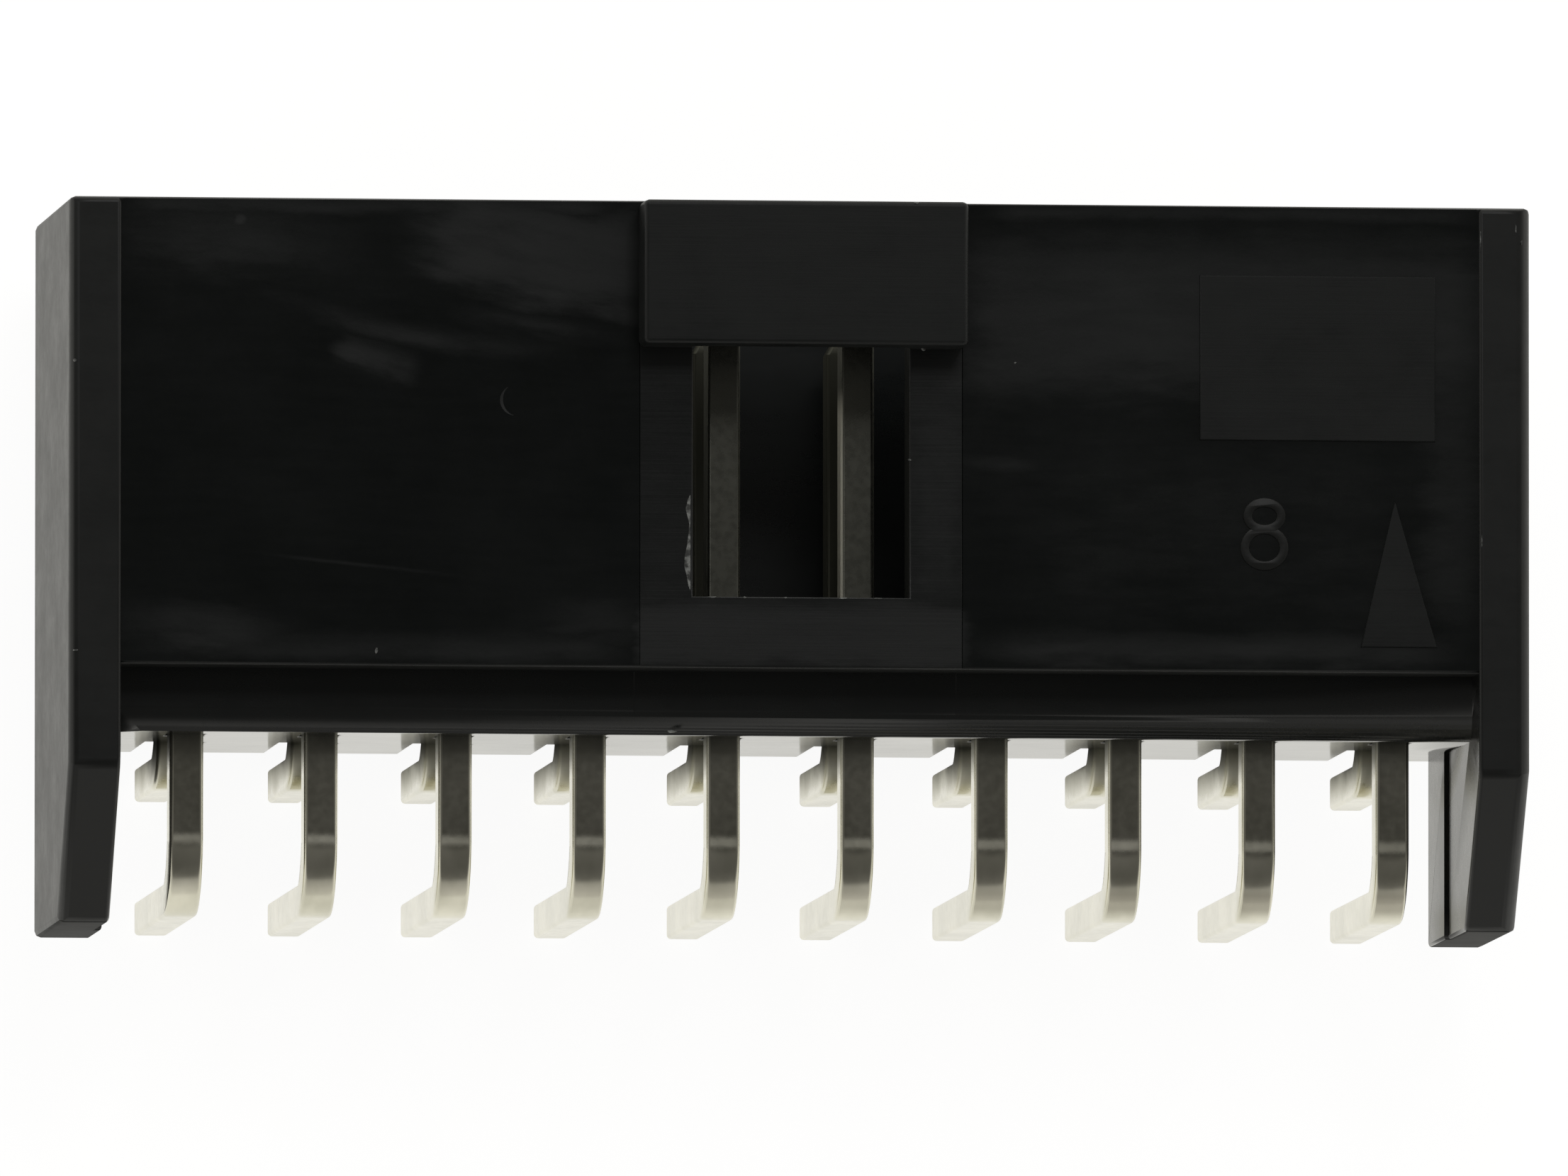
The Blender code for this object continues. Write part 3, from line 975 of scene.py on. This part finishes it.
stageLook = {
    "floorDrop": 2.12,     # mm under the board plane, just below the wires' tips
    "floorSize": 1500.0,
    "floorColour": (0.88, 0.87, 0.84),
    "whiteShare": 0.735,   # how much of the floor is plain white; the rest is lit and takes the shadow
    "mirroredShare": 0.75,             # the same for reflections
    "warmWhite": (0.95, 0.94, 0.89),   # the floor as the metal mirrors it
    "whiteLevel": 1.26,
    "tint": (1.0, 0.98, 0.93),
    "skyPeak": 1.3,
    # Height on the unit sphere and brightness there: a dim ceiling over pale walls
    "sky": [(0.0, 1.0), (0.20, 0.85), (0.45, 0.52), (0.54, 0.18), (0.77, 0.12), (1.0, 0.115)],
    "tailSide": 0.62,      # the wall behind the tails is dimmer than the one in front of the mouth
    "sideFrom": (-0.8, 0.2),
    "openingToward": (0.10, 0.17, 0.98),
    "opening": (0.93, 0.985),      # cosines between which the dark opening overhead fades in
    "openingShare": 0.38,
}


def makeFloor():
    bm = bmesh.new()
    half = stageLook["floorSize"] / 2
    corners = rectangle(-half, half, -half, half)
    bm.faces.new([bm.verts.new((x, y, -stageLook["floorDrop"])) for x, y in corners])
    mesh = bpy.data.meshes.new("floor")
    bm.to_mesh(mesh)
    bm.free()
    mesh.transform(Matrix.Scale(mm, 4))
    material = bpy.data.materials.new("pale floor")
    material.use_nodes = True
    tree = material.node_tree
    tree.nodes.remove(tree.nodes["Principled BSDF"])
    ray = addNode(tree, "ShaderNodeLightPath")
    paper = addNode(tree, "ShaderNodeBsdfDiffuse", Color=(*stageLook["floorColour"], 1))
    glow = blendColour(tree, ray.outputs["Is Camera Ray"], stageLook["warmWhite"], (1, 1, 1))
    white = addNode(tree, "ShaderNodeEmission", Color=glow, Strength=stageLook["whiteLevel"])
    mirrored = sums(tree, "MAXIMUM", ray.outputs["Is Glossy Ray"], ray.outputs["Is Transmission Ray"])
    direct = times(tree, ray.outputs["Is Camera Ray"], stageLook["whiteShare"])
    share = sums(tree, "MAXIMUM", direct, times(tree, mirrored, stageLook["mirroredShare"]))
    mixed = addNode(tree, "ShaderNodeMixShader", i0=share, i1=paper.outputs[0], i2=white.outputs[0])
    tree.links.new(mixed.outputs[0], tree.nodes["Material Output"].inputs["Surface"])
    mesh.materials.append(material)
    floor = bpy.data.objects.new("floor", mesh)
    bpy.context.scene.collection.objects.link(floor)


def makeWorld():
    world = bpy.data.worlds.new("light tent")
    world.use_nodes = True
    tree = world.node_tree
    direction = addNode(tree, "ShaderNodeTexCoord").outputs["Generated"]
    parts = addNode(tree, "ShaderNodeSeparateXYZ", i0=direction)
    ramp = addNode(tree, "ShaderNodeValToRGB", i0=parts.outputs["Z"])
    stops = ramp.color_ramp.elements
    for height, level in stageLook["sky"]:
        stop = stops[0] if height == 0 else stops[-1] if height == 1 else stops.new(height)
        stop.color = (level, level, level, 1)
    side = remap(tree, parts.outputs["Y"], *stageLook["sideFrom"], stageLook["tailSide"], 1.0)
    toward = addNode(tree, "ShaderNodeVectorMath", {"operation": "DOT_PRODUCT"}, i0=direction,
                     i1=Vector(stageLook["openingToward"]).normalized()).outputs["Value"]
    opening = remap(tree, toward, *stageLook["opening"], 1.0, stageLook["openingShare"])
    level = times(tree, times(tree, times(tree, ramp.outputs[0], side), opening), stageLook["skyPeak"])
    tree.links.new(level, tree.nodes["Background"].inputs["Strength"])
    tree.nodes["Background"].inputs["Color"].default_value = (*stageLook["tint"], 1)
    bpy.context.scene.world = world


keyLamp = {
    "from": (25.0, 132.0, 228.0),
    "size": (100.0, 80.0),
    "watts": 0.095,
}


def makeLamp():
    light = bpy.data.lights.new("soft box", "AREA")
    light.shape = "RECTANGLE"
    light.size = keyLamp["size"][0] * mm
    light.size_y = keyLamp["size"][1] * mm
    light.energy = keyLamp["watts"]
    lamp = bpy.data.objects.new("soft box", light)
    bpy.context.scene.collection.objects.link(lamp)
    place = Vector(keyLamp["from"]) * mm
    lamp.location = place
    lamp.rotation_euler = place.to_track_quat("Z", "Y").to_euler()


photoView = {
    "lookAt": (-0.329, -2.289, 7.3),   # mm, a point on the top wall
    "distance": 807.7,
    "turn": -6.139,                    # degrees
    "tilt": 3.920,
    "roll": 0.025,
    "lens": 985.7,
    "sensor": 36,
    "clip": (0.05, 5),                 # metres
}


def makeCamera():
    view = photoView
    data = bpy.data.cameras.new("camera")
    data.lens = view["lens"]
    data.sensor_width = view["sensor"]
    data.clip_start, data.clip_end = view["clip"]
    camera = bpy.data.objects.new("camera", data)
    bpy.context.scene.collection.objects.link(camera)
    aim = Matrix.Rotation(math.radians(view["turn"]), 3, "Y")
    aim = aim @ Matrix.Rotation(math.radians(view["tilt"]), 3, "X")
    aim = aim @ Matrix.Rotation(math.radians(view["roll"]), 3, "Z")
    camera.location = (Vector(view["lookAt"]) + aim.col[2] * view["distance"]) * mm
    camera.rotation_euler = aim.to_euler()
    bpy.context.scene.camera = camera


makeFloor()
makeWorld()
makeLamp()
makeCamera()
bpy.context.scene.view_settings.view_transform = "Standard"
print("stage, light and camera ready")
